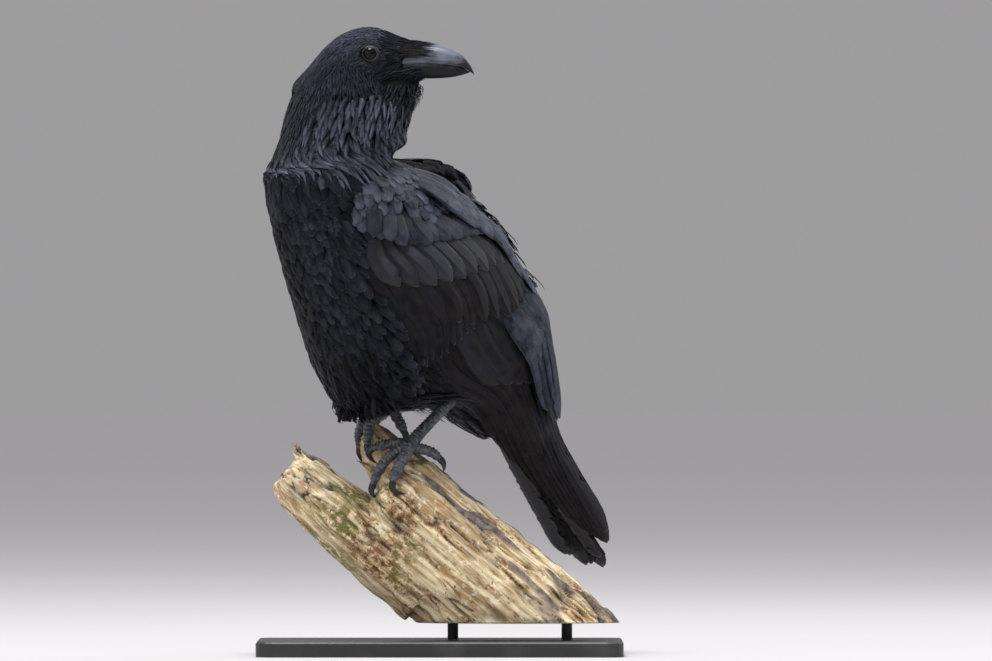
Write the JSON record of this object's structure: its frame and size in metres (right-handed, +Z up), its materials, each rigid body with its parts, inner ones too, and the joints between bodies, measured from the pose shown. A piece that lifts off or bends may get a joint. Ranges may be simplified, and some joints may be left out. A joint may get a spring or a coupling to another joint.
{
  "type": "raven model",
  "caption": "Still, life-size common raven in full plumage, looking back over its shoulder, gripping a cut length of broken branch on a plain display stand.",
  "frame": {"origin": "centre of the display base's underside", "axes": "+Z up out of the base; +X the way the bill points, along the base's long side; the bird's left side faces -Y"},
  "size_m": [0.34, 0.2652, 0.5823],
  "materials": {
    "plumage": "black feathers with a blue sheen",
    "horn": "satin black horn",
    "claw": "glossy black horn",
    "scute": "dark scaled skin",
    "eye": "wet gloss",
    "dead_wood": "bare, weathered and broken",
    "stand_paint": "satin black paint",
    "stand_metal": "satin black"
  },
  "bodies": {
    "root": {"bill_lower": "horn", "bill_upper": "horn", "claw_left_hind": "claw", "claw_left_inner": "claw", "claw_left_middle": "claw", "claw_left_outer": "claw", "claw_right_hind": "claw", "claw_right_inner": "claw", "claw_right_middle": "claw", "claw_right_outer": "claw", "eye_left": "eye", "eye_right": "eye", "head": "plumage", "neck": "plumage", "perch": "dead_wood", "shank_left": "scute", "shank_right": "scute", "stand_base": "stand_paint", "stand_rod_1": "stand_metal", "stand_rod_2": "stand_metal", "tail": "plumage", "toe_left_hind": "scute", "toe_left_inner": "scute", "toe_left_middle": "scute", "toe_left_outer": "scute", "toe_right_hind": "scute", "toe_right_inner": "scute", "toe_right_middle": "scute", "toe_right_outer": "scute", "torso": "plumage", "wing_left": "plumage", "wing_right": "plumage"}
  },
  "joints": []
}
